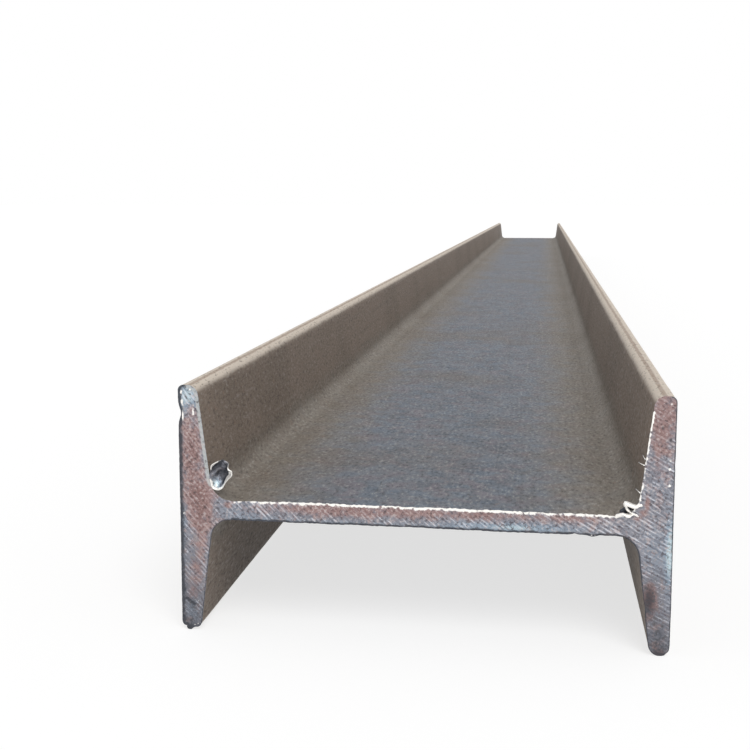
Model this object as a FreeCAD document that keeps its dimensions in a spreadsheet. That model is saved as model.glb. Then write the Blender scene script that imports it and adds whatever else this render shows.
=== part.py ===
import FreeCAD, Part
import os

import Sketcher
from FreeCAD import Vector

# Hot rolled steel I-beam with tapered flanges, 180 mm deep, one sawn length.
# It lies on one side: web level, flanges upright, resting on the lower flange toes.
# X is the section depth, Y the length, Z the flange width. Sizes are in millimetres.

doc = FreeCAD.newDocument("steel_i_beam")

# ---------------------------------------------------------------- sizes
dims = doc.addObject("Spreadsheet::Sheet", "dims")
sizes = [
    ("section_depth", 180, "over the two flanges"),
    ("flange_width", 94, "toe to toe"),
    ("web_thickness", 6.5, "plain plate between the roots"),
    ("flange_thickness", 9.7, "halfway between web and toe"),
    ("flange_taper", 0.125, "rise of the inner flange face, one in eight"),
    ("root_radius", 8.5, "web into flange"),
    ("toe_radius", 4.3, "inner edge of each toe"),
    ("heel_radius", 2, "outer edge of each toe"),
    ("beam_length", 3000, "between the sawn ends"),
]
for row, (name, value, note) in enumerate(sizes, start=1):
    dims.set(f"A{row}", name)
    dims.set(f"B{row}", str(value))
    dims.set(f"C{row}", note)
    dims.setAlias(f"B{row}", name)
doc.recompute()


# ---------------------------------------------------------------- helpers
def origin_plane(body, role):
    """The body's own origin plane of that role."""
    return [plane for plane in body.Origin.OriginFeatures if plane.Role == role][0]


def edges_at(shape, corners, tolerance=0.01):
    """Names of the lengthwise edges that run through the given section corners."""
    names = []
    for number, edge in enumerate(shape.Edges, start=1):
        start, end = edge.Vertexes[0].Point, edge.Vertexes[-1].Point
        lengthwise = abs(start.x - end.x) < tolerance and abs(start.z - end.z) < tolerance
        if not lengthwise:
            continue
        if any(abs(start.x - x) < tolerance and abs(start.z - z) < tolerance for x, z in corners):
            names.append(f"Edge{number}")
    return names


def mirrored(x, z):
    """The four section corners that share one distance from each axis."""
    return [(x, z), (-x, z), (x, -z), (-x, -z)]


def add_fillet(body, base, name, corners, radius):
    """Round the lengthwise edges at the corners to a sheet radius."""
    fillet = body.newObject("PartDesign::Fillet", name)
    fillet.Base = (base, edges_at(base.Shape, corners))
    fillet.setExpression("Radius", radius)
    doc.recompute()
    return fillet


# ---------------------------------------------------------------- rolled section
beam = doc.addObject("PartDesign::Body", "i_beam")
beam.Label = "i_beam"

section = beam.newObject("Sketcher::SketchObject", "section")
section.AttachmentSupport = [(origin_plane(beam, "XZ_Plane"), "")]
section.MapMode = "FlatFace"

half_depth = dims.section_depth / 2
half_width = dims.flange_width / 2
half_web = dims.web_thickness / 2
taper_drop = (dims.flange_width - dims.web_thickness) / 4 * dims.flange_taper
toe_x = half_depth - (dims.flange_thickness - taper_drop)
root_x = half_depth - (dims.flange_thickness + taper_drop)

# lower left corner onward, anticlockwise
outline = [
    (-half_depth, -half_width), (-toe_x, -half_width), (-root_x, -half_web),
    (root_x, -half_web), (toe_x, -half_width), (half_depth, -half_width),
    (half_depth, half_width), (toe_x, half_width), (root_x, half_web),
    (-root_x, half_web), (-toe_x, half_width), (-half_depth, half_width),
]
corner_count = len(outline)
for index in range(corner_count):
    start, end = outline[index], outline[(index + 1) % corner_count]
    section.addGeometry(Part.LineSegment(Vector(*start, 0), Vector(*end, 0)), False)
for index in range(corner_count):
    section.addConstraint(Sketcher.Constraint("Coincident", index, 2, (index + 1) % corner_count, 1))

# line starts stand for the corners: 1 is a line's start, -1 the level axis, -2 the upright one
for left, right in [(0, 5), (1, 4), (2, 3), (11, 6), (10, 7), (9, 8)]:
    section.addConstraint(Sketcher.Constraint("Symmetric", left, 1, right, 1, -2))
for lower, upper in [(0, 11), (1, 10), (2, 9)]:
    section.addConstraint(Sketcher.Constraint("Symmetric", lower, 1, upper, 1, -1))
section.addConstraint(Sketcher.Constraint("Horizontal", 0))

taper_term = "(dims.flange_width - dims.web_thickness) / 4 * dims.flange_taper"
for name, kind, first, second, value, rule in [
    ("depth", "DistanceX", 0, 5, 2 * half_depth, "dims.section_depth"),
    ("width", "DistanceY", 0, 11, 2 * half_width, "dims.flange_width"),
    ("web", "DistanceY", 2, 9, 2 * half_web, "dims.web_thickness"),
    ("toe", "DistanceX", 0, 1, half_depth - toe_x, f"dims.flange_thickness - {taper_term}"),
    ("root", "DistanceX", 0, 2, half_depth - root_x, f"dims.flange_thickness + {taper_term}"),
]:
    number = section.addConstraint(Sketcher.Constraint(kind, first, 1, second, 1, value))
    section.renameConstraint(number, name)
    section.setExpression(f"Constraints.{name}", rule)

rolled = beam.newObject("PartDesign::Pad", "rolled_length")
rolled.Profile = section
rolled.SideType = "Symmetric"
rolled.setExpression("Length", "dims.beam_length")
doc.recompute()

# ---------------------------------------------------------------- rolled roundings
# the toe fillet takes 0.89 of its radius from the toe, and the heel fillet stays within nine
# tenths of what is left, so that a flat strip remains between them
heel_room = f"0.9 * (dims.flange_thickness - {taper_term} - 0.89 * dims.toe_radius)"
heel_rule = f"min(dims.heel_radius; {heel_room})"
roots = add_fillet(beam, rolled, "root_fillets", mirrored(root_x, half_web), "dims.root_radius")
toes = add_fillet(beam, roots, "toe_fillets", mirrored(toe_x, half_width), "dims.toe_radius")
heels = add_fillet(beam, toes, "heel_fillets", mirrored(half_depth, half_width), heel_rule)

# the toes of one side stand on the floor
beam.setExpression("Placement.Base.z", "dims.flange_width / 2")
doc.recompute()

# ---------------------------------------------------------------- checks
for item in doc.Objects:
    if "Invalid" in item.State or "Error" in item.State:
        raise RuntimeError(f"{item.Name} did not recompute: {item.State}")
for body in [beam]:
    if body.Shape.isNull() or not body.Shape.isValid() or len(body.Shape.Solids) != 1:
        raise RuntimeError(f"{body.Label} is not one valid solid")
if section.solve() != 0 or not section.FullyConstrained:
    raise RuntimeError("the section sketch is not fully constrained")

# ---------------------------------------------------------------- output
os.makedirs("parts", exist_ok=True)
for body in [beam]:
    body.Shape.exportStep(f"parts/{body.Label}.step")
    box = body.Shape.BoundBox
    print(
        f"{body.Label}: {box.XLength:.2f} x {box.YLength:.2f} x {box.ZLength:.2f} mm, "
        f"z from {box.ZMin:.3f}, volume {body.Shape.Volume / 1000:.1f} cm3, "
        f"section {body.Shape.Volume / box.YLength / 100:.3f} cm2"
    )
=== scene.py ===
import math

import bpy
import numpy as np
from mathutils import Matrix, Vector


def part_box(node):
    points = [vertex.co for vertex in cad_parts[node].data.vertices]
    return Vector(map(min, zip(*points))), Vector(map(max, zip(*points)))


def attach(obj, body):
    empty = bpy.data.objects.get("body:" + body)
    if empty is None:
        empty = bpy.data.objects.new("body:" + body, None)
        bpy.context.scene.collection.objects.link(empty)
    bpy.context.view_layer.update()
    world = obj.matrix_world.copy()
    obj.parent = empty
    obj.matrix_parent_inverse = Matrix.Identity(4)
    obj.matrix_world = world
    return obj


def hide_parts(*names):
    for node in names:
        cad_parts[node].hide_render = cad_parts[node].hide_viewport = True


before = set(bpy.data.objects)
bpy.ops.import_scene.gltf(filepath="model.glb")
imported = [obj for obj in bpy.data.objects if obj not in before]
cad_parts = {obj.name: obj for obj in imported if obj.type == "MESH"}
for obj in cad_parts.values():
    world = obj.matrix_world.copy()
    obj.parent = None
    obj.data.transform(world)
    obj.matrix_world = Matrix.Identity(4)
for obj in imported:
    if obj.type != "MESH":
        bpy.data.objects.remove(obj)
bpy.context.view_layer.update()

mm = 0.001
boxLow, boxHigh = (np.array(corner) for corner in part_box("i_beam"))
halfDepth = (boxHigh[0] - boxLow[0]) / 2   # half the section's depth, across the flanges
halfWidth = (boxHigh[2] - boxLow[2]) / 2   # half a flange's width
webHeight = (boxHigh[2] + boxLow[2]) / 2   # the web lies level at this height
nearEnd, farEnd = boxLow[1], boxHigh[1]


def linearColour(hexColour):
    # sRGB hex to linear light: ((c + 0.055) / 1.055) ^ 2.4, or c / 12.92 near black
    channels = np.array([int(hexColour[i:i + 2], 16) / 255 for i in (1, 3, 5)])
    curved = ((channels + 0.055) / 1.055) ** 2.4
    linear = np.where(channels > 0.04045, curved, channels / 12.92)
    return (*linear.tolist(), 1.0)


def addNode(tree, kind, inputs=None, output=0, **settings):
    # one node: settings are its properties, and inputs are sockets' values or the sockets that
    # feed them; returns the chosen output
    node = tree.nodes.new("ShaderNode" + kind)
    for name, value in settings.items():
        setattr(node, name, value)
    for socket, value in (inputs or {}).items():
        if isinstance(value, bpy.types.NodeSocket):
            tree.links.new(value, node.inputs[socket])
        else:
            node.inputs[socket].default_value = value
    return node.outputs[output] if node.outputs else node


def paintLayers(tree, colour, layers):
    # colours painted one over another: share = strength * smoothstep of the mask from low to high
    for mask, low, high, strength, hexColour in layers:
        share = addNode(tree, "MapRange", {
            "Value": mask, "From Min": low, "From Max": high, "To Max": strength},
            interpolation_type="SMOOTHSTEP")
        colour = addNode(tree, "Mix", {0: share, 6: colour, 7: linearColour(hexColour)},
                         output=2, data_type="RGBA")
    return colour


def addNoises(tree, place, noises):
    # one noise per name: size in mm, detail, then roughness, each with its own seed
    return {
        name: addNode(tree, "TexNoise", {
            "Vector": place, "Scale": 1 / (size * mm), "Detail": detail, "Roughness": roughness,
            "W": seed}, noise_dimensions="4D")
        for seed, (name, (size, detail, roughness)) in enumerate(noises.items())}


def startMaterial(name):
    # an empty material and its node tree
    material = bpy.data.materials.new(name)
    material.use_nodes = True
    material.node_tree.nodes.clear()
    return material, material.node_tree


def softNoise(u, v, seed):
    # random values 0..1 on whole-number points, blended between them with 3t^2 - 2t^3
    size = 128          # points before the pattern repeats
    lattice = np.random.default_rng(seed).random((size, size))
    cellU, cellV = np.floor(u).astype(int), np.floor(v).astype(int)
    partU, partV = u - cellU, v - cellV
    easeU, easeV = (part * part * (3 - 2 * part) for part in (partU, partV))

    def at(stepU, stepV):
        return lattice[(cellU + stepU) % size, (cellV + stepV) % size]

    low = at(0, 0) * (1 - easeU) + at(1, 0) * easeU
    high = at(0, 1) * (1 - easeU) + at(1, 1) * easeU
    return low * (1 - easeV) + high * easeV


def patchSum(x, z, patches):
    # sum of soft spots: strength * exp(-(dx / reachX)^2 - (dz / reachZ)^2), places in mm
    spots = np.array(patches)
    dx = (x[..., None] / mm - spots[:, 0]) / spots[:, 2]
    dz = (z[..., None] / mm - spots[:, 1]) / spots[:, 3]
    return (spots[:, 4] * np.exp(-dx ** 2 - dz ** 2)).sum(axis=-1)


def idsOf(grid, first=0):
    # indices of a grid's points, counted row by row from first
    return np.arange(grid.shape[0] * grid.shape[1]).reshape(grid.shape[:2]) + first


def cornersOf(grid):
    # the four corners of every cell of a grid of indices or of places
    cells = np.stack([grid[:-1, :-1], grid[:-1, 1:], grid[1:, 1:], grid[1:, :-1]], axis=2)
    return cells.reshape(-1, *cells.shape[2:])


# camera: low and close in front of the sawn end, a little right of the middle, turned left
cameraView = {
    "lens": 54.6,        # mm on a 36 mm sensor
    "right": 0.043,      # m from the beam's middle
    "height": 0.162,     # m above the floor
    "distance": 0.401,   # m in front of the sawn end
    "turnLeft": 8.4,     # degrees
    "lookDown": 6.9,     # degrees
    "shiftY": -0.05,
}


def makeCamera():
    data = bpy.data.cameras.new("camera")
    data.lens = cameraView["lens"]
    data.sensor_width = 36
    data.shift_y = cameraView["shiftY"]
    data.clip_start = 0.01
    camera = bpy.data.objects.new("camera", data)
    camera.location = (cameraView["right"], nearEnd - cameraView["distance"], cameraView["height"])
    turn = (90 - cameraView["lookDown"], 0, cameraView["turnLeft"])
    camera.rotation_euler = [math.radians(angle) for angle in turn]
    bpy.context.scene.collection.objects.link(camera)
    bpy.context.scene.camera = camera


# stage: pale floor, white surroundings, one wide soft sun and an even sky
stageLook = {
    "floorSize": 60.0,
    "floorColour": "#ffffff",
    "floorGlow": 0.72,      # share of the floor that the camera sees as plain white
    "skyStrength": 0.6,
    "sunStrength": 1.7,
    "sunAngle": 35,         # degrees across, so shadows are soft
    "sunTilt": 38,          # degrees down from overhead, towards the camera
    "sunTurn": 22,          # degrees round from the beam's line
}


def seenDirectly(tree):
    # 1 for a ray from the camera, a reflection or glass, 0 for one that lights something
    rays = [addNode(tree, "LightPath", output=f"Is {kind} Ray")
            for kind in ("Camera", "Glossy", "Transmission")]
    either = addNode(tree, "Math", {0: rays[0], 1: rays[1]}, operation="MAXIMUM")
    return addNode(tree, "Math", {0: either, 1: rays[2]}, operation="MAXIMUM")


def makeStage():
    scene = bpy.context.scene
    scene.view_settings.view_transform = "Standard"

    floorMaterial, tree = startMaterial("paleFloor")
    diffuse = addNode(tree, "BsdfDiffuse", {"Color": linearColour(stageLook["floorColour"])})
    glow = addNode(tree, "Emission", {"Color": (1, 1, 1, 1), "Strength": 1.0})
    share = addNode(tree, "Math", {
        0: seenDirectly(tree), 1: stageLook["floorGlow"]}, operation="MULTIPLY")
    blend = addNode(tree, "MixShader", {0: share, 1: diffuse, 2: glow})
    addNode(tree, "OutputMaterial", {"Surface": blend})

    half = stageLook["floorSize"] / 2
    mesh = bpy.data.meshes.new("floor")
    square = [(-half, -half, 0), (half, -half, 0), (half, half, 0), (-half, half, 0)]
    mesh.from_pydata(square, [], [(0, 1, 2, 3)])
    mesh.materials.append(floorMaterial)
    floor = bpy.data.objects.new("floor", mesh)
    scene.collection.objects.link(floor)

    world = bpy.data.worlds.new("sky")
    world.use_nodes = True
    tree = world.node_tree
    tree.nodes.clear()
    sky = addNode(tree, "Background", {"Color": (1, 1, 1, 1), "Strength": stageLook["skyStrength"]})
    white = addNode(tree, "Background", {"Color": (1, 1, 1, 1), "Strength": 1.0})
    blend = addNode(tree, "MixShader", {0: seenDirectly(tree), 1: sky, 2: white})
    addNode(tree, "OutputWorld", {"Surface": blend})
    scene.world = world

    lamp = bpy.data.lights.new("softSun", "SUN")
    lamp.energy = stageLook["sunStrength"]
    lamp.angle = math.radians(stageLook["sunAngle"])
    sun = bpy.data.objects.new("softSun", lamp)
    turn = (stageLook["sunTilt"], 0, stageLook["sunTurn"])
    sun.rotation_euler = [math.radians(angle) for angle in turn]
    scene.collection.objects.link(sun)


makeCamera()
makeStage()
print("camera and stage made")


# the rolled section, as the CAD model has it
rolledSection = {
    "webThickness": 6.5 * mm,
    "flangeThickness": 9.7 * mm,    # halfway between web and toe
    "flangeTaper": 1 / 8,
    "rootRadius": 8.5 * mm,
    "toeRadius": 4.3 * mm,
    "heelRadius": 2.0 * mm,
}


# hot rolled mill scale: steel rolled red hot and left in the yard. A thin dark grey oxide skin,
# dull and slightly rough, with coarse grit in it and a light brown rust that is thickest on the
# flanges; the toes are rubbed to a pale tan, and that pale band also holds a painted highlight
# where the light falls on the toes' tops
millScale = {
    "grey": "#62676f",
    "greyDark": "#4c525c",
    "blue": "#596878",
    "plum": "#6d6169",
    "olive": "#766c5e",
    "brown": "#7a6a5d",
    "brownDark": "#5f5347",
    "rust": "#8c6549",
    "pit": "#34312f",
    "grain": "#9d9993",
    # pale tan of the rubbed toes, also a painted highlight where light falls on their tops
    "toeWearAndHighlight": "#cbbfb1",
    "toeLine": "#7d6553",
    "bareMetalAndHighlight": "#e8e3dc",
    "noises": {         # size in mm, detail, roughness
        "cloud": (16.0, 4.0, 0.6), "wideCloud": (80.0, 2.0, 0.5), "speck": (5.0, 3.0, 0.7),
        "tint": (7.0, 2.0, 0.5),
    },
    "grits": {"grit": (1.3, 2.0, 0.65), "fineGrit": (0.6, 1.0, 0.5)},
    "gritStretch": 2.2,             # the rolls drew the grains out along the beam
    "streaks": {"streak": (2.6, 2.0, 0.5)},
    "streakStretch": 60.0,
    "paleToeBand": 3.4,                 # mm, pale band at each toe: rubbed wear and a painted highlight on its top
    "toeEdge": 0.75,                # mm, the pale band's full strength lies this far past the toe
    "toeLineOffset": 1.8,           # mm outwards from the flange's middle
}


def makeMillScale():
    material, tree = startMaterial("hotRolledMillScale")
    look = millScale
    place = addNode(tree, "TexCoord", output="Object")
    noise = addNoises(tree, place, look["noises"])
    for group, stretch in (("grits", "gritStretch"), ("streaks", "streakStretch")):
        stretched = addNode(tree, "Mapping", {"Vector": place, "Scale": (1, 1 / look[stretch], 1)})
        noise.update(addNoises(tree, stretched, look[group]))
    bareMetalAndHighlight = addNode(tree, "Attribute", output="Fac", attribute_name="bareMetalAndHighlight")

    # masks: how far from the web's middle, how far up the flange, how near a toe's edge
    across = addNode(tree, "SeparateXYZ", {"Vector": place}, output="X")
    height = addNode(tree, "SeparateXYZ", {"Vector": place}, output="Z")
    fromMiddle = addNode(tree, "Math", {0: across}, operation="ABSOLUTE")
    flangeShare = addNode(tree, "MapRange", {
        "Value": fromMiddle, "From Min": 0.2 * halfDepth, "From Max": 0.85 * halfDepth})
    aboveWeb = addNode(tree, "Math", {0: height, 1: webHeight}, operation="SUBTRACT")
    fromWeb = addNode(tree, "Math", {0: aboveWeb}, operation="ABSOLUTE")
    mask = {}                       # each is base + amount * noise, so its edge is ragged
    for name, base, amount, kind in (
            ("olive", flangeShare, 0.9, "cloud"), ("flange", fromWeb, 12 * mm, "cloud"),
            ("toe", fromWeb, 1.5 * mm, "cloud"), ("toeLine", fromMiddle, 1.6 * mm, "speck")):
        mask[name] = addNode(
            tree, "Math", {0: noise[kind], 1: amount, 2: base}, operation="MULTIPLY_ADD")
    toeMiddle = halfDepth - rolledSection["flangeThickness"] / 2 + look["toeLineOffset"] * mm
    lineOffset = addNode(tree, "Math", {0: mask["toeLine"], 1: toeMiddle}, operation="SUBTRACT")
    lineDistance = addNode(tree, "Math", {0: lineOffset}, operation="ABSOLUTE")
    onToe = addNode(tree, "Math", {0: fromWeb, 1: halfWidth - 0.6 * mm}, operation="GREATER_THAN")
    lineMask = addNode(tree, "Math", {0: lineDistance, 1: -1 / mm, 2: 1.0}, operation="MULTIPLY_ADD")
    toeLine = addNode(tree, "Math", {0: lineMask, 1: onToe}, operation="MULTIPLY")
    toeEdge = halfWidth + look["toeEdge"] * mm

    skin = paintLayers(tree, linearColour(look["grey"]), [
        (noise["cloud"], 0.42, 0.62, 0.7, look["greyDark"]),
        (noise["tint"], 0.5, 0.64, 0.45, look["blue"]),
        (noise["tint"], 0.5, 0.36, 0.4, look["plum"]),
        (mask["olive"], 0.65, 1.4, 0.8, look["olive"]),
        (mask["flange"], 12 * mm, 26 * mm, 0.8, look["brown"]),
        (noise["wideCloud"], 0.45, 0.7, 0.45, look["brownDark"]),
        (noise["speck"], 0.6, 0.72, 0.3, look["rust"]),
        (noise["streak"], 0.58, 0.8, 0.2, look["grain"]),
        (noise["streak"], 0.42, 0.2, 0.3, look["pit"]),
        # the toes' pale band: rubbed wear and painted highlight
        (mask["toe"], toeEdge - look["paleToeBand"] * mm, toeEdge - 1.2 * mm, 0.9, look["toeWearAndHighlight"]),
        (toeLine, 0.0, 0.5, 0.6, look["toeLine"]),
        (noise["grit"], 0.54, 0.7, 0.4, look["grain"]),
        (noise["grit"], 0.46, 0.32, 0.55, look["pit"]),
        (bareMetalAndHighlight, 0.25, 0.6, 1.0, look["bareMetalAndHighlight"]),
    ])
    relief = addNode(tree, "Math", {
        0: noise["fineGrit"], 1: 0.4, 2: noise["grit"]}, operation="MULTIPLY_ADD")
    bump = addNode(tree, "Bump", {"Height": relief, "Strength": 0.55, "Distance": 0.35 * mm})
    metal = addNode(tree, "MapRange", {"Value": flangeShare, "To Min": 0.3, "To Max": 0.08})
    roughness = addNode(tree, "MapRange", {
        "Value": noise["grit"], "From Min": 0.3, "From Max": 0.7, "To Min": 0.75, "To Max": 0.55})
    shader = addNode(tree, "BsdfPrincipled", {
        "Base Color": skin, "Metallic": metal, "Roughness": roughness, "Normal": bump})
    addNode(tree, "OutputMaterial", {"Surface": shader})
    return material


# sawn steel: cut cold by a large round blade, then left out. The bright grey face keeps the arcs
# of the teeth as fine light and dark lines, and a thin pink-brown rust has bloomed over part of it
sawnFace = {
    "steel": "#8b8c95",
    "coolSteel": "#90a1b1",
    "paleSteel": "#c2d6dd",
    "darkSteel": "#6b6c76",
    "rust": "#96756f",
    "rustDark": "#6f4c45",
    "rustPale": "#b69d97",
    "strip": "#b4b8b8",
    "brightLine": "#dee1e9",
    "darkLine": "#494b56",
    # dark grey for painted shade under the lower edges, in the notch, the groove, the burrs' hollows and
    # behind the folded burr, and for dark stains
    "stainAndShade": "#33363d",
    "grainPale": "#cdc2c0",
    "grainDark": "#4a4042",
    "bareMetalAndHighlight": "#fbf8f3",
    "noises": {            # size in mm, detail, roughness
        "grain": (1.15, 2.0, 0.65), "fineGrain": (0.62, 1.0, 0.5), "bloom": (3.2, 4.0, 0.7),
        "cloud": (10.0, 3.0, 0.6),
    },
    "scratches": {"scratch": (0.72, 2.0, 0.6), "groove": (1.7, 1.0, 0.5), "streak": (2.4, 2.0, 0.6)},
    "scratchStretch": 10.0,
    "crossScratches": {"cross": (0.8, 2.0, 0.6)},
    "crossStretch": 5.0,
    "crossTurn": -38,      # degrees, scratches left by the blade's return
    "rustRange": (1.45, 2.3),      # the rust mask's start and full strength
    "metallic": (0.5, 0.1),        # clean, then rusted
    "roughness": (0.45, 0.75),
    "markPitch": 1.4,      # mm between the blade's arcs
    "lineLevel": 0.755,    # the lines' middle value
    "markShare": 0.11,     # of the arcs in the lines' level, beside the scratches
    "bladeX": 0.243,       # m from the beam's middle to the blade's centre
    "bladeZ": 0.298,       # m above the web
}


def makeSawnSteel():
    material, tree = startMaterial("sawnSteelWithRustBloom")
    look = sawnFace
    place = addNode(tree, "TexCoord", output="Object")
    noise = addNoises(tree, place, look["noises"])
    rust, cool, stainAndShade, strip, bareMetalAndHighlight, wander = (
        addNode(tree, "Attribute", output="Fac", attribute_name=name)
        for name in ("rust", "cool", "stainAndShade", "strip", "bareMetalAndHighlight", "wander"))

    # blade coordinates: radius from the blade's centre, and length along its arc
    centre = (look["bladeX"], 0, webHeight + look["bladeZ"])
    offset = addNode(tree, "VectorMath", {0: place, 1: centre}, operation="SUBTRACT")
    flat = addNode(tree, "VectorMath", {0: offset, 1: (1, 0, 1)}, operation="MULTIPLY")
    radius = addNode(tree, "VectorMath", {0: flat}, output="Value", operation="LENGTH")
    angle = addNode(tree, "Math", {
        0: addNode(tree, "SeparateXYZ", {"Vector": flat}, output="Z"),
        1: addNode(tree, "SeparateXYZ", {"Vector": flat}, output="X")}, operation="ARCTAN2")
    arcScale = math.hypot(look["bladeX"], look["bladeZ"]) / look["scratchStretch"]
    arc = addNode(tree, "Math", {0: angle, 1: arcScale}, operation="MULTIPLY")
    scratches = addNoises(tree, addNode(tree, "CombineXYZ", {"X": radius, "Y": arc}), look["scratches"])

    crossed = addNode(tree, "Mapping", {
        "Vector": place, "Rotation": (0, math.radians(look["crossTurn"]), 0),
        "Scale": (1 / look["crossStretch"], 1, 1)})
    scratches.update(addNoises(tree, crossed, look["crossScratches"]))

    # lines = scratch + share * sin(2 pi radius / pitch + wander) + (groove + cross scratch) / 4
    phase = addNode(tree, "Math", {
        0: radius, 1: 2 * math.pi / (look["markPitch"] * mm), 2: wander}, operation="MULTIPLY_ADD")
    wave = addNode(tree, "Math", {0: phase}, operation="SINE")
    fine = addNode(tree, "Math", {
        0: wave, 1: look["markShare"], 2: scratches["scratch"]}, operation="MULTIPLY_ADD")
    broad = addNode(tree, "Math", {0: scratches["groove"], 1: scratches["cross"]}, operation="ADD")
    even = addNode(tree, "Math", {0: broad, 1: 0.25, 2: fine}, operation="MULTIPLY_ADD")

    # the lines fade and strengthen in patches, and fade where the face is dark:
    # level + patchy * clear * (even - level)
    patchy = addNode(tree, "MapRange", {
        "Value": noise["bloom"], "From Min": 0.35, "From Max": 0.65, "To Min": 0.35, "To Max": 1.3})
    clear = addNode(tree, "MapRange", {
        "Value": stainAndShade, "From Min": 0.4, "From Max": 0.7, "To Min": 1.0, "To Max": 0.35})
    contrast = addNode(tree, "Math", {0: patchy, 1: clear}, operation="MULTIPLY")
    swing = addNode(tree, "Math", {0: even, 1: look["lineLevel"]}, operation="SUBTRACT")
    lines = addNode(tree, "Math", {
        0: swing, 1: contrast, 2: look["lineLevel"]}, operation="MULTIPLY_ADD")

    mask = {"edge": rust, "cool": cool, "stainAndShade": stainAndShade, "bareMetalAndHighlight": bareMetalAndHighlight}
    for name, base, amount, pattern in (    # base + amount * noise, so its edge is ragged
            ("edge", "edge", 2.0, noise["bloom"]), ("rust", "edge", 0.8, scratches["streak"]),
            ("darkRust", "rust", -1.5, noise["grain"]), ("cool", "cool", 0.6, noise["cloud"]),
            ("stainAndShade", "stainAndShade", 1.6, noise["grain"]), ("bareMetalAndHighlight", "bareMetalAndHighlight", 0.9, noise["grain"])):
        mask[name] = addNode(
            tree, "Math", {0: pattern, 1: amount, 2: mask[base]}, operation="MULTIPLY_ADD")

    face = paintLayers(tree, linearColour(look["steel"]), [
        (noise["cloud"], 0.5, 0.36, 0.4, look["darkSteel"]),
        (mask["cool"], 0.4, 1.3, 0.9, look["coolSteel"]),
        (mask["cool"], 1.1, 1.6, 0.85, look["paleSteel"]),
        (lines, 0.79, 0.96, 0.66, look["brightLine"]),
        (lines, 0.72, 0.54, 0.52, look["darkLine"]),
        (mask["rust"], *look["rustRange"], 0.8, look["rust"]),
        (noise["bloom"], 0.52, 0.68, 0.45, look["rustPale"]),
        (noise["bloom"], 0.46, 0.34, 0.5, look["darkSteel"]),
        (mask["darkRust"], 1.6, 2.1, 0.55, look["rustDark"]),
        (lines, 0.79, 0.98, 0.1, look["brightLine"]),
        (lines, 0.72, 0.54, 0.16, look["darkLine"]),
        (strip, 0.05, 0.3, 0.85, look["strip"]),
        (noise["grain"], 0.54, 0.68, 0.56, look["grainPale"]),
        (noise["grain"], 0.46, 0.34, 0.68, look["grainDark"]),
        # painted shade and dark stains
        (mask["stainAndShade"], 0.95, 1.75, 0.9, look["stainAndShade"]),
        # bare metal of the burrs and flecks, with painted highlights
        (mask["bareMetalAndHighlight"], 0.75, 1.05, 1.0, look["bareMetalAndHighlight"]),
    ])
    relief = addNode(tree, "Math", {0: noise["fineGrain"], 1: 0.5, 2: lines}, operation="MULTIPLY_ADD")
    bump = addNode(tree, "Bump", {"Height": relief, "Strength": 0.6, "Distance": 0.22 * mm})
    low, high = look["rustRange"]
    metal, roughness = (
        addNode(tree, "MapRange", {
            "Value": mask["rust"], "From Min": low, "From Max": high, "To Min": clean, "To Max": rusted})
        for clean, rusted in (look["metallic"], look["roughness"]))
    shader = addNode(tree, "BsdfPrincipled", {
        "Base Color": face, "Metallic": metal, "Roughness": roughness, "Normal": bump})
    addNode(tree, "OutputMaterial", {"Surface": shader})
    return material


# how finely the beam is meshed; cell counts are whole multiples of "thin"
beamMesh = {
    "across": 32,        # cells through a flange
    "half": 128,         # cells up one half of a flange
    "web": 16,           # cells through the web
    "webLength": 344,    # cells along the web
    "thin": 4,           # fine cells to one plain cell; stitch is written for four
    "fineSteps": [0.2, 0.45, 0.8, 1.3, 2.2, 4, 8, 15, 24],   # mm from the sawn end
    "plainGap": 6,       # mm behind them
    "plainReach": 0.30,  # m from the sawn end, closely stepped
    "plainStep": 8.0,    # mm
    "longStep": 60.0,    # mm
    "lastGap": 30,       # mm from the far end, left free of long steps
    "lastSteps": [20, 8, 2, 0.7],    # mm from the far end
    "sharp": 50,         # degrees, edges sharper than this stay crisp
}


def arcPoints(centre, radius, start, end, count=24):
    # centre + radius * (cos a, sin a), the angle a running evenly from start to end
    angle = np.radians(np.linspace(start, end, count))
    return np.stack([centre[0] + radius * np.cos(angle), centre[1] + radius * np.sin(angle)], axis=1)


def spreadEvenly(path, count):
    # the same path cut into count equal lengths
    lengths = np.hypot(*np.diff(path, axis=0).T)
    along = np.concatenate([[0], np.cumsum(lengths)])
    wanted = np.linspace(0, along[-1], count + 1)
    return np.stack([np.interp(wanted, along, path[:, axis]) for axis in (0, 1)], axis=1)


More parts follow.
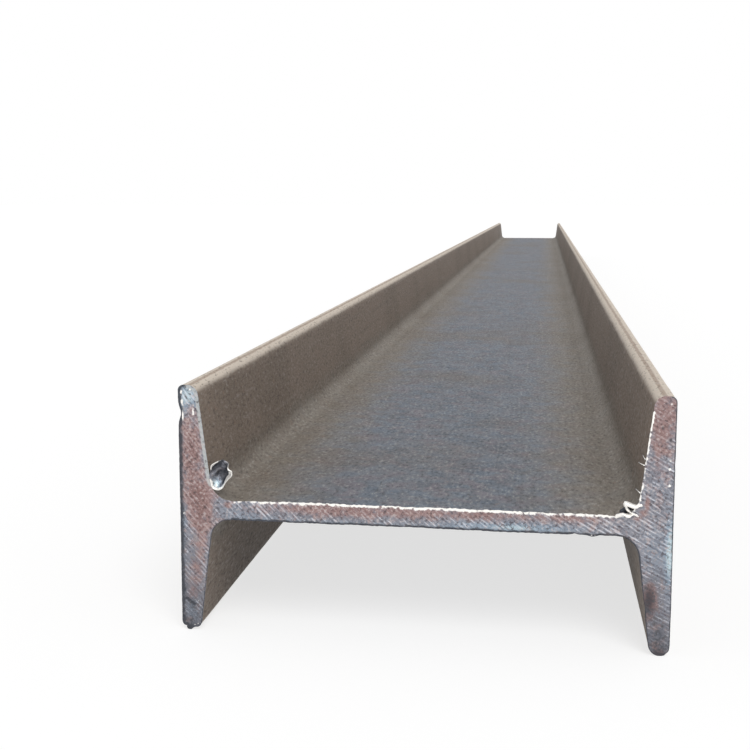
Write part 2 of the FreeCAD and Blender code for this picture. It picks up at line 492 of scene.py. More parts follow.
def flangeGrid():
    # right flange of the section as a grid of (x, z): rows climb from toe to toe, and each row
    # runs straight from the outer edge to the inner edge, outer * (1 - u) + inner * u
    size = rolledSection
    halfWeb = size["webThickness"] / 2
    drop = (halfWidth - halfWeb) / 2 * size["flangeTaper"]
    toeX = halfDepth - size["flangeThickness"] + drop
    rootX = halfDepth - size["flangeThickness"] - drop
    lean = math.atan(size["flangeTaper"])
    reach = 1 / math.tan((math.pi / 2 + lean) / 2)   # fillet's tangent length over its radius
    leanDegrees = math.degrees(lean)

    root, toe, heel = size["rootRadius"], size["toeRadius"], size["heelRadius"]
    rootArc = arcPoints((rootX - root * reach, halfWeb + root), root, -90, -leanDegrees)
    toeArc = arcPoints((toeX + toe * reach, halfWidth - toe), toe, 180 - leanDegrees, 90)
    heelArc = arcPoints((halfDepth - heel, halfWidth - heel), heel, 0, 90)
    inner = spreadEvenly(np.concatenate([rootArc, toeArc]), beamMesh["half"])
    spread = 2.2 * halfWeb
    outer = spreadEvenly(np.concatenate([[[halfDepth, spread]], heelArc]), beamMesh["half"])

    level = np.linspace(-1, 1, beamMesh["web"] + 1)[1:-1]
    innerMiddle = np.stack([np.full_like(level, inner[0, 0]), level * halfWeb], axis=1)
    outerMiddle = np.stack([np.full_like(level, halfDepth), level * spread], axis=1)
    below = np.array([1, -1])
    inner = np.concatenate([inner[::-1] * below, innerMiddle, inner])
    outer = np.concatenate([outer[::-1] * below, outerMiddle, outer])
    u = np.linspace(0, 1, beamMesh["across"] + 1)[None, :, None]
    return outer[:, None] * (1 - u) + inner[:, None] * u


def sectionGrid(thin):
    # the whole section as three joined grids; returns the places (x, z), each grid's indices, and
    # the outline: indices once round, anticlockwise seen from the sawn end, with a name per point
    right = flangeGrid()
    left = right * np.array([-1, 1])
    half, web = beamMesh["half"], beamMesh["web"]
    middle = slice(half, half + web + 1)
    along = np.linspace(0, 1, beamMesh["webLength"] + 1)[None, :, None]
    plate = left[middle, -1:] * (1 - along) + right[middle, -1:] * along
    left, right, plate = (grid[::thin, ::thin] for grid in (left, right, plate))
    half, web = half // thin, web // thin
    middle = slice(half, half + web + 1)

    places = np.concatenate([grid.reshape(-1, 2) for grid in (left, right, plate[:, 1:-1])])
    leftId = idsOf(left)
    rightId = leftId + leftId.size
    innerId = idsOf(plate[:, 1:-1], 2 * leftId.size)
    plateId = np.concatenate([leftId[middle, -1:], innerId, rightId[middle, -1:]], axis=1)

    sides = [
        ("toeBelow", leftId[0]), ("leftInnerBelow", leftId[:half + 1, -1]), ("webBelow", plateId[0]),
        ("rightInnerBelow", rightId[half::-1, -1]), ("toeBelow", rightId[0, ::-1]),
        ("rightFace", rightId[:, 0]), ("toeAbove", rightId[-1]),
        ("rightInnerAbove", rightId[:half + web - 1:-1, -1]), ("webAbove", plateId[-1, ::-1]),
        ("leftInnerAbove", leftId[half + web:, -1]), ("toeAbove", leftId[-1, ::-1]),
        ("leftFace", leftId[::-1, 0]),
    ]
    outline = np.concatenate([ids[:-1] for _, ids in sides])
    names = np.concatenate([[name] * (len(ids) - 1) for name, ids in sides])
    return places, (leftId, rightId[:, ::-1], plateId), outline, names


# what the blade left at the near end; places are in mm, z up from the floor
sawCut = {
    "markDepth": 0.06,      # mm
    "drift": 0.25,          # mm, slow wander of the cut
    "driftSize": 30,        # mm
    "wanderTurns": 1.2,     # of the arcs' phase
    "wanderSize": 11,       # mm across the arcs
    "wanderArc": 0.06,      # radians along them
    "strengthSize": 3,      # mm across the arcs, patches where the marks are deeper
    "strengthArc": 0.03,    # radians along them
    "lip": {                # mm, burr standing up from each edge
        "webAbove": 0.8, "rightInnerAbove": 0.3, "leftInnerAbove": 0.15,
        "rightFace": 0.1, "leftFace": 0.15, "toeAbove": 0.12, "toeBelow": 0.1,
        "webBelow": 0.4, "leftInnerBelow": 0.12, "rightInnerBelow": 0.12,
    },
    "lipDepth": 0.9,        # mm, how far back the burr reaches
    "lipEase": 9,           # outline points either way over which one side's height meets the next
    "lipLow": 0.6,          # share of the burr's height where it is lowest
    "lipFine": (0.9, 0.5),  # mm, then share of the height: small tears
    "lipLong": (8, 0.3),    # and long ones
    "webLipStart": -74,     # the burr on the web starts here and grows to the right
    "webLipGrowth": 30,     # mm until it is full
    "webLipLow": 0.25,      # share of its height where it starts
    "brightRim": {          # mm, bare metal pulled over the edge
        "webAbove": 1.25, "rightInnerAbove": 0.95,
    },
    "brightLip": {          # how unbroken it is
        "webAbove": 0.8, "rightInnerAbove": 0.5,
    },
    "brightPatch": 1.1,     # mm, size of its breaks
    "flangeLipEnd": 91,     # the burr up the right flange ends here
    "strip": {              # mm, band that the blade left clean
        "leftInnerAbove": 1.5,
    },
    "stripStart": 55,
    "fade": 3,              # mm, over which the strip and the bright burr begin and end
    "shadedRim": {            # mm, painted shade along the edge
        "webBelow": 1.0, "leftInnerBelow": 0.5, "rightInnerBelow": 0.8,
        "leftFace": 2.0, "rightFace": 0.5, "toeBelow": 0.8,
    },
    "shadedRimStrength": 1.5,
    "shadedRimPatch": 1.4,    # mm, size of its uneven patches
    "dentReach": 7,         # mm, how far back a dent fades
    "edgePull": 3.2,        # mm in from the edge, how far the face moves with a dent
    "dents": [              # x, z, reach across, reach up, height: nicks are below zero
        (-90, 83.4, 1.2, 2.6, -1.0), (-82.2, 34.5, 3.0, 2.6, 0.6), (-85, 0, 1.6, 1.4, -1.0),
        (-89.4, 0.6, 1.4, 1.5, -1.7), (89.4, 0.6, 1.7, 1.7, -0.8), (88.5, 70, 1.4, 1.2, -0.4),
        (82, 18, 2.0, 2.5, -0.4), (62, 43.6, 1.8, 1.2, 0.7), (56, 43.6, 1.0, 1.0, -0.4),
    ],
    "rust": [               # x, z, reach across, reach up, strength
        (-85.3, 68, 4.2, 15, 1.2), (-82, 52, 6, 7, 1.1), (-82, 43, 4, 6, 0.8),
        (-72, 49, 1.7, 1.3, 1.0), (-82.6, 34, 3.2, 8, 0.6), (-84.5, 22, 3, 7, 0.55),
        (-86, 14, 3, 4, 0.4), (-30, 48.8, 26, 2.6, 1.1), (20, 49.2, 26, 2.0, 0.9),
        (58, 49.2, 14, 1.5, 0.6), (80.9, 55.8, 0.9, 2.8, 1.0), (79.4, 52, 1.4, 1.3, 0.9),
        (77, 50.2, 1.8, 0.9, 0.8), (86, 88, 6, 10, 1.1), (84.5, 75, 3, 7, 0.7),
        (86, 62, 5, 7, 0.35), (82.6, 20.5, 2.6, 6.5, 1.3), (86.5, 1.5, 3, 2, 0.7),
    ],
    "cool": [
        (-86.5, 90, 5, 6, 1.3), (35, 45, 26, 2.0, 1.0), (-30, 44.2, 40, 1.2, 0.5),
        (89.2, 38, 1.7, 15, 1.2), (84, 38, 6, 14, 0.5), (85, 63, 4, 8, 0.45),
        (-89, 40, 1.5, 16, 0.6), (-86, 7, 4, 6, 0.5), (85, 8, 4, 5, 0.3), (-66, 47, 14, 5, 0.5),
    ],
    # dark patches: painted shadow in the notch at the top left, beside the chipped left toe and along
    # the left edge, the lower toes darker towards the bottom, and a dark stain on the brown patch at the
    # lower right
    "stainAndShade": [
        (-89.4, 83.4, 0.9, 2.4, 2.2), (-86.5, 0, 4, 3, 0.4), (-86, 6, 8, 14, 0.56),
        (-86, 30, 8, 14, 0.26), (86, 2, 8, 16, 0.66), (82.2, 20.5, 2.2, 6, 0.6),
        (85, 28, 8, 12, 0.3), (85.5, 82.7, 0.7, 0.7, 0.8), (88.3, 78.7, 0.7, 0.9, 0.8),
        (-89.5, 62, 0.9, 18, 0.5), (-89.5, 36, 1.3, 14, 0.5), (-88.4, 2.0, 0.6, 0.6, 1.1),
        (-87.5, 1.0, 0.6, 0.6, 1.1), (-89.6, 4, 0.6, 0.9, 1.5), (-89.4, 15.6, 0.7, 0.8, 1.3),
        (86, 0.4, 3, 0.8, 0.8),
        # painted shadow of one deep groove across the lower left toe
        (-88.2, 12.3, 0.7, 0.35, 1.2), (-87.2, 11.6, 0.6, 0.35, 1.2),
        (-86.2, 10.9, 0.6, 0.35, 1.2), (-85.3, 10.2, 0.6, 0.35, 1.2),
    ],
    # bright spots: flecks of bare metal, and a painted highlight along the web's lower edge
    "bright": [
        (-88.6, 87.5, 0.5, 1.4, 0.6), (-88.4, 82.2, 0.35, 2.4, 0.8), (-84.4, 84, 0.5, 2.0, 0.6),
        (-83.7, 79, 0.5, 1.2, 0.5), (88.4, 71.2, 0.7, 0.7, 0.7), (88.2, 68.2, 0.7, 0.7, 0.7),
        (88.4, 62.2, 0.7, 0.7, 0.75), (88.2, 91.4, 0.6, 0.5, 0.5), (-12, 44.6, 30, 0.7, 0.25),
        (-88.6, 45, 0.5, 0.7, 0.7), (-85.2, 2.1, 0.8, 0.5, 0.55), (-84, 2.6, 0.4, 0.6, 0.5),
        (-83.7, 11.4, 0.4, 0.6, 0.5), (-88.9, 91.6, 0.5, 0.8, 0.6), (-85.5, 92.4, 1.0, 0.5, 0.45),
        (-83.9, 70, 0.35, 5, 0.35), (-86.4, 88.5, 2.6, 4.5, 0.22),
        # painted highlight on the deep groove's lower edge
        (-87.4, 10.8, 0.8, 0.4, 0.2), (-86.6, 10.3, 0.8, 0.5, 0.22),
        (-85.8, 9.7, 0.8, 0.5, 0.24), (-84.9, 9.1, 0.8, 0.5, 0.28),
    ],
}


def bladeRadiusAt(x, z):
    # distance from the blade's centre, and the angle round it
    dx, dz = x - sawnFace["bladeX"], z - sawnFace["bladeZ"]
    return np.hypot(dx, dz), np.arctan2(dz, dx)


def sawWander(x, z):
    # slow change of phase, in radians, that keeps the blade's arcs from being even
    radius, angle = bladeRadiusAt(x, z)
    turns = softNoise(radius / (sawCut["wanderSize"] * mm), angle / sawCut["wanderArc"], 11)
    return 2 * np.pi * sawCut["wanderTurns"] * turns


def sawRelief(x, z):
    # depth of the cut face: depth * sin(2 pi radius / pitch + wander) * strength + drift * noise
    radius, angle = bladeRadiusAt(x, z)
    size = sawCut["strengthSize"] * mm
    patches = softNoise(radius / size, angle / sawCut["strengthArc"], 12)
    phase = 2 * np.pi * radius / (sawnFace["markPitch"] * mm) + sawWander(x, z)
    wave = np.sin(phase) * (0.35 + 0.65 * patches)
    size = sawCut["driftSize"] * mm
    drift = softNoise(x / size + 40, z / size + 40, 13) - 0.5
    return -sawCut["markDepth"] * mm * wave + sawCut["drift"] * mm * drift


def outlineNormals(places):
    # outward normal of the outline: the tangent (tx, tz) turned to (tz, -tx)
    tangent = np.roll(places, -1, axis=0) - np.roll(places, 1, axis=0)
    tangent /= np.linalg.norm(tangent, axis=1, keepdims=True)
    return np.stack([tangent[:, 1], -tangent[:, 0]], axis=1)


def lipHeights(places, names):
    # burr height round the outline: each side's own height, eased at the corners, times
    # low + fine noise + long noise; on the web it rises from its start. Also returns how far
    # round the outline each point is, 0..1
    height = np.array([sawCut["lip"][name] for name in names])
    grown = np.clip((places[:, 0] / mm - sawCut["webLipStart"]) / sawCut["webLipGrowth"], 0, 1)
    rise = sawCut["webLipLow"] + (1 - sawCut["webLipLow"]) * grown
    height = np.where(names == "webAbove", height * rise, height)
    window = sawCut["lipEase"]
    padded = np.concatenate([height[-window:], height, height[:window]])
    height = np.convolve(padded, np.full(2 * window + 1, 1 / (2 * window + 1)), "valid")
    steps = np.hypot(*(np.roll(places, -1, axis=0) - places).T)
    along = np.concatenate([[0], np.cumsum(steps[:-1])])
    ragged = sawCut["lipLow"]
    for (size, share), seed in ((sawCut["lipFine"], 21), (sawCut["lipLong"], 22)):
        ragged = ragged + share * softNoise(along / (size * mm), along * 0, seed)
    return height * mm * ragged, along / (along[-1] + steps[-1])


def nearestOn(places, outlinePlaces):
    # the outline point nearest to each place, and how far away it is
    nearest = np.zeros(len(places), dtype=int)
    squared = np.full(len(places), np.inf)
    block = 64          # outline points at a time, to keep the arrays small
    for start in range(0, len(outlinePlaces), block):
        gaps = ((places[:, None] - outlinePlaces[None, start:start + block]) ** 2).sum(axis=2)
        closer = gaps.min(axis=1) < squared
        nearest[closer] = gaps[closer].argmin(axis=1) + start
        squared[closer] = gaps[closer].min(axis=1)
    return nearest, np.sqrt(squared)


def rimShare(places, outlinePlaces, names, widths):
    # 1 at the outline's named sides, falling to 0 at each side's width: 1 - distance / width
    share = np.zeros(len(places))
    for name, width in widths.items():
        _, distance = nearestOn(places, outlinePlaces[names == name])
        share = np.maximum(share, 1 - distance / (width * mm))
    return np.clip(share, 0, 1)


# gentle unevenness that the rolls left: height in mm, waves round the section, metres along
rolledSkin = {
    "wave": (0.22, 18, 0.11),
    "ripple": (0.07, 90, 0.018),
}


def skinLift(along, distance):
    # sum of height * (noise - 1/2), the noise running round the section and down the length
    lift = 0
    for (height, count, length), seed in ((rolledSkin["wave"], 31), (rolledSkin["ripple"], 32)):
        lift = lift + height * mm * (softNoise(along * count, distance / length, seed) - 0.5)
    return lift


# where the skin and the two cut faces lie on the bake map, in shares of the map's side
bakeMap = {
    "edge": 0.005,              # left free round the skin
    "split": 0.25,              # m from the sawn end: the nearer skin has more room
    "nearSkin": (0.345, 0.32, 1.6),     # low edge, height, how strongly the near end is favoured
    "farSkin": 0.33,            # height
    "faceWidth": 0.61,          # of the near face; the far one is smaller by farFaceShare
    "nearFace": (0.31, 0.675),  # middle across, low edge
    "farFace": (0.81, 0.80),
    "farFaceShare": 0.58,
}


def skinMap(across, distances, length):
    # bake map place of each point round the outline at each distance: the near stretch rises as
    # low + height * (1 - distance / split) ^ ease, and the rest falls evenly down the length
    low, height, ease = bakeMap["nearSkin"]
    edge, split = bakeMap["edge"], bakeMap["split"]
    near = low + height * np.clip(1 - distances / split, 0, 1) ** ease
    rest = edge + bakeMap["farSkin"] * (length - distances) / (length - split)
    v = np.where(distances <= split, near, rest)[:, None]
    u = edge + (1 - 2 * edge) * across[None, :]
    return np.stack([u + 0 * v, v + 0 * u], axis=2)


def stitch(fineRow, plainRow):
    # five triangles join four fine steps to one plain step
    thin = beamMesh["thin"]
    f = [fineRow[k:len(fineRow) - 1 + (k == thin):thin] for k in range(thin)] + [fineRow[thin::thin]]
    a, b = plainRow[:-1], plainRow[1:]
    triangles = [(f[0], a, f[1]), (f[1], a, f[2]), (f[2], a, b), (f[2], b, f[3]), (f[3], b, f[4])]
    return np.concatenate([np.stack(corners, axis=1) for corners in triangles])


def sawnLook(points, fine, fineLoop, fineNames, lipIds):
    # what the materials read at each point: rust, cool grey, dark stain and painted shade, clean
    # strip, the arcs' wander, and bright metal with painted highlights. The face's points come first,
    # and only they have rims
    x, z = points[:, 0], points[:, 2]
    face = slice(0, len(fine))
    look = {name: patchSum(x, z, sawCut[name]) for name in ("rust", "cool", "stainAndShade")}
    look["wander"] = sawWander(x, z - webHeight)
    strip, shadedRim, brightRim = (
        rimShare(fine, fine[fineLoop], fineNames, sawCut[name])
        for name in ("strip", "shadedRim", "brightRim"))
    look["strip"] = np.zeros(len(points))
    look["strip"][face] = strip * np.clip(
        (z[face] / mm - sawCut["stripStart"]) / sawCut["fade"], 0, 1)

    # painted shade along the edges, broken into uneven patches
    size = sawCut["shadedRimPatch"] * mm
    uneven = 0.5 + softNoise(fine[:, 0] / size + 70, fine[:, 1] / size + 70, 52)
    edgeShade = sawCut["shadedRimStrength"] * shadedRim * uneven
    look["stainAndShade"][face] = np.maximum(look["stainAndShade"][face], edgeShade)

    # the bright burr grows along the web, ends up the right flange and is broken by noise
    fromStart = x / mm - sawCut["webLipStart"]
    grown = np.clip(fromStart / sawCut["fade"], 0, 1)
    grown *= 0.5 + 0.5 * np.clip(fromStart / sawCut["webLipGrowth"], 0, 1)
    grown *= np.clip((sawCut["flangeLipEnd"] - z / mm) / sawCut["fade"], 0, 1)
    size = sawCut["brightPatch"] * mm
    grown *= 0.35 + 1.1 * softNoise(x / size, z / size, 51)
    bright = patchSum(x, z, sawCut["bright"])
    bright[len(fine):] = 0
    bright[face] = np.maximum(bright[face], brightRim * grown[face])
    unbroken = np.array([sawCut["brightLip"].get(name, 0) for name in fineNames])
    bright[lipIds] = unbroken * grown[fineLoop]
    look["bareMetalAndHighlight"] = bright
    return look


def writeLook(mesh, look):
    # one number per point under each name that the materials read
    for name, values in look.items():
        attribute = mesh.attributes.new(name, "FLOAT", "POINT")
        attribute.data.foreach_set("value", values.astype(np.float32))


def makeBeam(materials):
    # the near face as a fine grid, fine rings behind it, plain rings down the length, and the far
    # face as a plain grid
    fine, fineGrids, fineLoop, fineNames = sectionGrid(1)
    plain, plainGrids, plainLoop, _ = sectionGrid(beamMesh["thin"])
    normals = outlineNormals(fine[fineLoop])
    lip, along = lipHeights(fine[fineLoop], fineNames)
    dents = patchSum(fine[fineLoop, 0], fine[fineLoop, 1] + webHeight, sawCut["dents"]) * mm

    # stations along the beam, as distances from the near end
    length = farEnd - nearEnd
    fineSteps = np.array(beamMesh["fineSteps"]) * mm
    gap, lastGap, step, longStep = (
        beamMesh[name] * mm for name in ("plainGap", "lastGap", "plainStep", "longStep"))
    closeSteps = np.arange(fineSteps[-1] + gap, beamMesh["plainReach"], step)
    longSteps = np.arange(beamMesh["plainReach"], length - lastGap, longStep)
    lastSteps = length - np.array(beamMesh["lastSteps"]) * mm
    plainSteps = np.concatenate([closeSteps, longSteps, lastSteps])

    def ring(thin, distances):
        # the outline at each distance: place + normal * (lip + dents + unevenness)
        pick = slice(None, None, thin)
        base, out = fine[fineLoop][pick], normals[pick]
        back = distances[:, None]
        lipShare = np.clip(1 - back / (sawCut["lipDepth"] * mm), 0, 1) ** 2
        lift = lip[pick] * lipShare + dents[pick] * np.exp(-back / (sawCut["dentReach"] * mm))
        lift = lift + skinLift(along[pick][None, :] + 0 * back, back + 0 * along[pick])
        xz = base[None] + out[None] * lift[..., None]
        y = np.broadcast_to(nearEnd + back, xz.shape[:2])
        return np.stack([xz[..., 0], y, np.maximum(xz[..., 1] + webHeight, 0)], axis=2)

    # near face: the outline follows the burr and the dents, the points inside move with the nearest
    # outline point by 1 - distance / pull, and the blade's relief moves every point along the beam
    nearPoints = np.stack([fine[:, 0], np.zeros(len(fine)), fine[:, 1] + webHeight], axis=1)
    nearRing = ring(1, np.zeros(1))[0]
    nearest, distance = nearestOn(fine, fine[fineLoop])
    pull = np.clip(1 - distance / (sawCut["edgePull"] * mm), 0, 1)
    nearPoints += (nearRing - nearPoints[fineLoop])[nearest] * pull[:, None]
    nearPoints[fineLoop] = nearRing
    nearPoints[:, 1] = nearEnd + sawRelief(fine[:, 0], fine[:, 1])
    farPoints = np.stack([plain[:, 0], np.zeros(len(plain)), plain[:, 1] + webHeight], axis=1)
    farPoints[:, 1] = farEnd - np.abs(sawRelief(plain[:, 0] + 0.5, plain[:, 1]))

    fineRings = ring(1, fineSteps)
    plainRings = ring(beamMesh["thin"], plainSteps)
    parts = [nearPoints, fineRings.reshape(-1, 3), plainRings.reshape(-1, 3), farPoints]
    points = np.concatenate(parts)
    firstFine, firstPlain, firstFar = np.cumsum([len(part) for part in parts[:-1]])
    fineIds = np.concatenate([fineLoop[None], idsOf(fineRings, firstFine)])
    plainIds = np.concatenate([idsOf(plainRings, firstPlain), plainLoop[None] + firstFar])
    fineIds, plainIds = (np.concatenate([ids, ids[:, :1]], axis=1) for ids in (fineIds, plainIds))

    # bake map: the near face has the most room, then the first stretch, then the rest
    fineAlong = np.append(along, 1.0)
    plainAlong = fineAlong[::beamMesh["thin"]]
    fineMap = skinMap(fineAlong, np.concatenate([[0], fineSteps]), length)
    plainDistances = np.append(plainSteps, length)
    plainMap = skinMap(plainAlong, plainDistances, length)
    # the row of faces that crosses the split starts again at the top of the rest's band
    crossing = int(np.searchsorted(plainDistances, bakeMap["split"], side="right"))
    crossMap = skinMap(plainAlong, plainDistances[crossing - 1:crossing + 1], length)
    crossMap[0, :, 1] = bakeMap["edge"] + bakeMap["farSkin"]
    scale = bakeMap["faceWidth"] / (2 * halfDepth)
    farScale = scale * bakeMap["farFaceShare"]
    nearMap = points[:, ::2] * scale + bakeMap["nearFace"]
    farMap = points[:, ::2] * [-farScale, farScale] + bakeMap["farFace"]

    turned = [0, 3, 2, 1]
    nearFaces = np.concatenate([cornersOf(grid) for grid in fineGrids])
    farFaces = np.concatenate([cornersOf(grid + firstFar)[:, turned] for grid in plainGrids])
    fineFaces = cornersOf(fineIds)[:, turned]
    stitchFaces = stitch(fineIds[-1], plainIds[0])
    plainFaces = cornersOf(plainIds)[:, turned]
    crossFirst = (crossing - 1) * (plainIds.shape[1] - 1)
    plainCorners = cornersOf(plainMap)[:, turned]
    plainCorners[crossFirst:crossFirst + plainIds.shape[1] - 1] = cornersOf(crossMap)[:, turned]

    quads = np.concatenate([nearFaces, fineFaces, plainFaces, farFaces])
    corners = np.concatenate([
        nearMap[nearFaces].reshape(-1, 2), cornersOf(fineMap)[:, turned].reshape(-1, 2),
        plainCorners.reshape(-1, 2), farMap[farFaces].reshape(-1, 2),
        stitch(fineMap[-1], plainMap[0]).reshape(-1, 2)])
    lipRows = int(np.sum(fineSteps <= sawCut["lipDepth"] * mm))
    sawn = np.zeros(len(quads) + len(stitchFaces), dtype=int)
    sawn[:len(nearFaces)] = 1
    sawn[len(nearFaces):len(nearFaces) + lipRows * (fineIds.shape[1] - 1)] = 1
    sawn[len(quads) - len(farFaces):len(quads)] = 1

    mesh = bpy.data.meshes.new("rolledBeam")
    mesh.from_pydata(points.tolist(), [], quads.tolist() + stitchFaces.tolist())
    for material in materials:
        mesh.materials.append(material)
    mesh.polygons.foreach_set("material_index", sawn.astype(np.int32))
    mesh.polygons.foreach_set("use_smooth", np.ones(len(sawn), dtype=bool))
    mesh.uv_layers.new(name="OFBake").data.foreach_set("uv", corners.astype(np.float32).ravel())

    writeLook(mesh, sawnLook(points, fine, fineLoop, fineNames, fineIds[:lipRows + 1, :-1]))
    mesh.set_sharp_from_angle(angle=math.radians(beamMesh["sharp"]))
    mesh.validate()
    beam = bpy.data.objects.new("rolledBeam", mesh)
    bpy.context.scene.collection.objects.link(beam)
    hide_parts("i_beam")
    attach(beam, "root")
    print("beam made:", len(mesh.vertices), "points,", len(mesh.polygons), "faces")


# loose bits of metal that the blade left hanging on the near end, and a dark ribbon of painted
# shade behind the folded one. Each is a ribbon: points are (x, y, z) in mm, y back from the sawn
# end, then half width, half thickness and brightness
burrs = {
    "foldedBurr": [
        ([(78.6, 1.0, 54.8), (76.8, 0, 54.3), (73.1, -0.4, 55.7),
          (73.8, -0.3, 53.5), (75.3, 0, 52.1), (77.8, 0.8, 51.2)], 1.4, 0.7, 1.0),
        ([(70.4, 0.9, 50.4), (72.5, -0.2, 51.6), (74.4, -0.4, 50.9),
          (76.3, 0, 51.6), (78.2, 0.9, 50.6)], 1.5, 0.65, 1.0),
        # a dark ribbon of painted shade behind the folds, where their gaps fall in shadow
        ([(72.4, 2.4, 51.0), (73.6, 2.2, 52.8), (75.2, 2.2, 53.2), (78.4, 2.4, 53.2)], 0.6, 1.3, 0.0),
    ],
    "burrWhiskers": [
        ([(79.0, 1.2, 55.8), (78.3, 0.4, 57.0), (78.6, 0.4, 58.6)], 0.6, 0.4, 0.8),
        ([(79.4, 1.0, 58.6), (78.2, 0.5, 59.4), (76.7, 0.2, 60.8)], 0.5, 0.32, 0.4),
        ([(80.6, 1.0, 69.2), (79.2, 0.4, 69.4), (77.4, 0.2, 70.4)], 0.4, 0.26, 0.4),
        ([(80.8, 1.0, 71.0), (79.6, 0.5, 71.6), (78.8, 0.2, 73)], 0.35, 0.22, 0.4),
        ([(59.6, 1.0, 44.4), (61.6, 0.4, 43.3), (63.2, 0.3, 43.4)], 0.5, 0.35, 0.5),
        ([(81.2, 1.0, 27.5), (79.9, 0.4, 25.6), (80.5, 0.6, 22.8)], 0.45, 0.3, 0.4),
    ],
}


def addBurr(name, points, faces, look, material):
    # a closed mesh of places in mm from the sawn end, with its look as point attributes
    mesh = bpy.data.meshes.new(name)
    mesh.from_pydata((points * mm + np.array([0, nearEnd, 0])).tolist(), [], faces)
    mesh.materials.append(material)
    mesh.polygons.foreach_set("use_smooth", np.ones(len(faces), dtype=bool))
    writeLook(mesh, look)
    piece = bpy.data.objects.new(name, mesh)
    bpy.context.scene.collection.objects.link(piece)
    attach(piece, "root")
    print(name, "made:", len(faces), "faces")


def closedRings(rings, first, start, end):
    # faces of a stack of rings, closed by a fan at the start point and at the end point
    ids = idsOf(rings, first)
    ids = np.concatenate([ids, ids[:, :1]], axis=1)
    startFan = np.stack([np.full(rings.shape[1], start), ids[0, 1:], ids[0, :-1]], axis=1)
    endFan = np.stack([np.full(rings.shape[1], end), ids[-1, :-1], ids[-1, 1:]], axis=1)
    return cornersOf(ids).tolist() + startFan.tolist() + endFan.tolist()


def makeRibbons(name, ribbons, material, sides=12, steps=48):
    # rings along a path: centre + side * width * cos a + normal * thickness * sin a, where the
    # side is the beam's direction made square to the path; it narrows to a blunt tip at the end,
    # its near edge is bare metal, and a ribbon without brightness is painted shade, dark all round
    points, faces, bright, stainAndShade = [], [], [], []
    angle = np.linspace(0, 2 * np.pi, sides, endpoint=False)
    along = np.linspace(0, 1, steps)
    for number, (path, width, thickness, brightness) in enumerate(ribbons):
        control = np.array(path, dtype=float)
        place = along * (len(control) - 1)
        knots = np.arange(len(control))
        centre = np.stack([np.interp(place, knots, control[:, k]) for k in range(3)], axis=1)
        for _ in range(3):      # rounds the corners: each point moves towards its neighbours
            centre[1:-1] = (centre[:-2] + 2 * centre[1:-1] + centre[2:]) / 4
        tangent = np.gradient(centre, axis=0)
        tangent /= np.linalg.norm(tangent, axis=1, keepdims=True)
        side = np.array([0, 1.0, 0]) - tangent * tangent[:, 1:2]
        side /= np.linalg.norm(side, axis=1, keepdims=True)
        normal = np.cross(tangent, side)
        taper = np.clip(1.8 * (1 - along), 0.5, 1)
        taper *= 0.75 + 0.5 * softNoise(along * 9, along * 0, number)
        wide = width * taper[:, None] * np.cos(angle)
        thick = thickness * taper[:, None] * np.sin(angle)
        ring = centre[:, None] + side[:, None] * wide[..., None] + normal[:, None] * thick[..., None]
        first = sum(len(block) for block in points)
        points += [ring.reshape(-1, 3), centre[:1], centre[-1:]]
        faces += closedRings(ring, first, first + steps * sides, first + steps * sides + 1)
        bright += [np.tile(brightness * (0.5 - 0.7 * np.cos(angle)), steps), [0, 0]]
        # painted shade on a ribbon without brightness
        stainAndShade.append(np.full(steps * sides + 2, 1.2 * (1 - brightness)))
    look = {"bareMetalAndHighlight": np.concatenate(bright), "stainAndShade": np.concatenate(stainAndShade)}
    addBurr(name, np.concatenate(points), faces, look, material)


# the largest burr: a cup of crumpled metal in the root of the left flange, open to the near end
curledBurr = {
    "rim": [        # x, z in mm round the rim, then the share of bare bright edge there
        (-78.7, 59.8, 0.05), (-78.3, 57.6, 0.45), (-77.6, 54.9, 0.35), (-75.4, 54.4, 0.4),
        (-73.5, 55.3, 0.6), (-72.6, 57.2, 0.9), (-71.7, 58.4, 1.3), (-70.0, 60.0, 1.3),
        (-70.1, 61.8, 1.15), (-71.7, 62.6, 0.4), (-71.3, 65.1, 0.15), (-73.8, 66.0, 0.1),
        (-76.2, 65.1, 0.4), (-78.1, 64.0, 0.5),
    ],
    "middle": (-74.6, 60.2),
    "rimWidth": 0.34,          # bare edge where its share is 1, as a share of the radius
    "depth": 3.4,              # mm, from the rim back to the hollow
    "thickness": 1.1,          # mm
    "crumple": 0.8,            # mm
    # strength of the painted shade in the hollow
    "hollowShade": 1.4,
    "paleSpot": (-77.0, 56.2, 2.3),     # x, z, reach
}


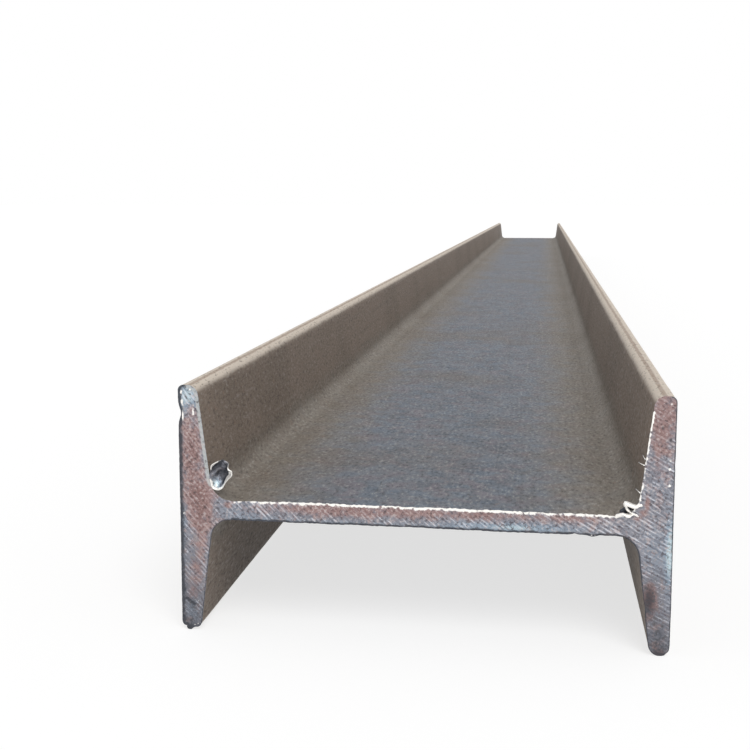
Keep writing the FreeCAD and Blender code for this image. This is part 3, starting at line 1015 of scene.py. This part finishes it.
def makeCurledBurr(material, sides=72, steps=16):
    # a bowl: middle + share * (rim - middle), depth * (1 - share^2) back from the rim, crumpled by
    # noise drawn out along the slope; its front and back surfaces meet round the rim
    look = curledBurr
    rim = np.array(look["rim"] + look["rim"][:1])
    at = np.linspace(0, len(rim) - 1, sides, endpoint=False)
    rim = np.stack([np.interp(at, np.arange(len(rim)), rim[:, k]) for k in range(3)], axis=1)
    for _ in range(2):          # rounds the corners
        rim = (np.roll(rim, 1, axis=0) + 2 * rim + np.roll(rim, -1, axis=0)) / 4
    rim = rim[::-1]             # clockwise, which turns the faces outwards
    share = np.linspace(1 / steps, 1, steps)[:, None]
    x = look["middle"][0] + (rim[:, 0] - look["middle"][0]) * share
    z = look["middle"][1] + (rim[:, 1] - look["middle"][1]) * share
    along, across = (x + z) / math.sqrt(2), (x - z) / math.sqrt(2)
    fold = 0.7 * softNoise(along / 4.5 + 60, across / 1.5 + 100, 42)
    fold += 0.3 * softNoise(x + 100, z, 44)
    edge = np.clip((share - 1 + look["rimWidth"] * rim[:, 2]) / 0.05, 0, 1)
    edge *= np.minimum(1.8 * rim[:, 2], 1.2)
    y = look["depth"] * (1 - share ** 2) + 2 * look["crumple"] * (0.5 - fold) - 0.5 * edge
    front = np.stack([x, y + 0.4, z], axis=2)
    back = front[::-1] + np.array([0, look["thickness"], 0])
    rings = np.concatenate([front, back])
    centre = front[0].mean(axis=0)
    points = np.concatenate([rings.reshape(-1, 3), [centre, centre + [0, look["thickness"], 0]]])
    count = rings.shape[0] * sides
    faces = closedRings(rings, 0, count, count + 1)

    spotX, spotZ, reach = look["paleSpot"]
    pale = np.exp(-((x - spotX) ** 2 + (z - spotZ) ** 2) / reach ** 2)
    bright = edge * (0.7 + 0.5 * softNoise(x / 0.9 + 100, z / 0.9, 43)) + 0.36 * pale
    # painted shade: dark in the hollow and streaked by the folds, lifted at the pale spot and at the
    # bare rim
    stainAndShade = look["hollowShade"] * (1.35 - 1.5 * fold) * (1 - pale) * (1 - np.clip(edge, 0, 1))
    cool = 0.2 + 1.3 * pale
    attributes = {"bareMetalAndHighlight": bright, "stainAndShade": stainAndShade, "cool": cool}
    attributes = {
        key: np.concatenate([values.ravel(), values[::-1].ravel(), values[0, :1], values[0, :1]])
        for key, values in attributes.items()}
    addBurr("curledBurr", points, faces, attributes, material)


materials = [makeMillScale(), makeSawnSteel()]
makeBeam(materials)
for name, ribbons in burrs.items():
    makeRibbons(name, ribbons, materials[1])
makeCurledBurr(materials[1])
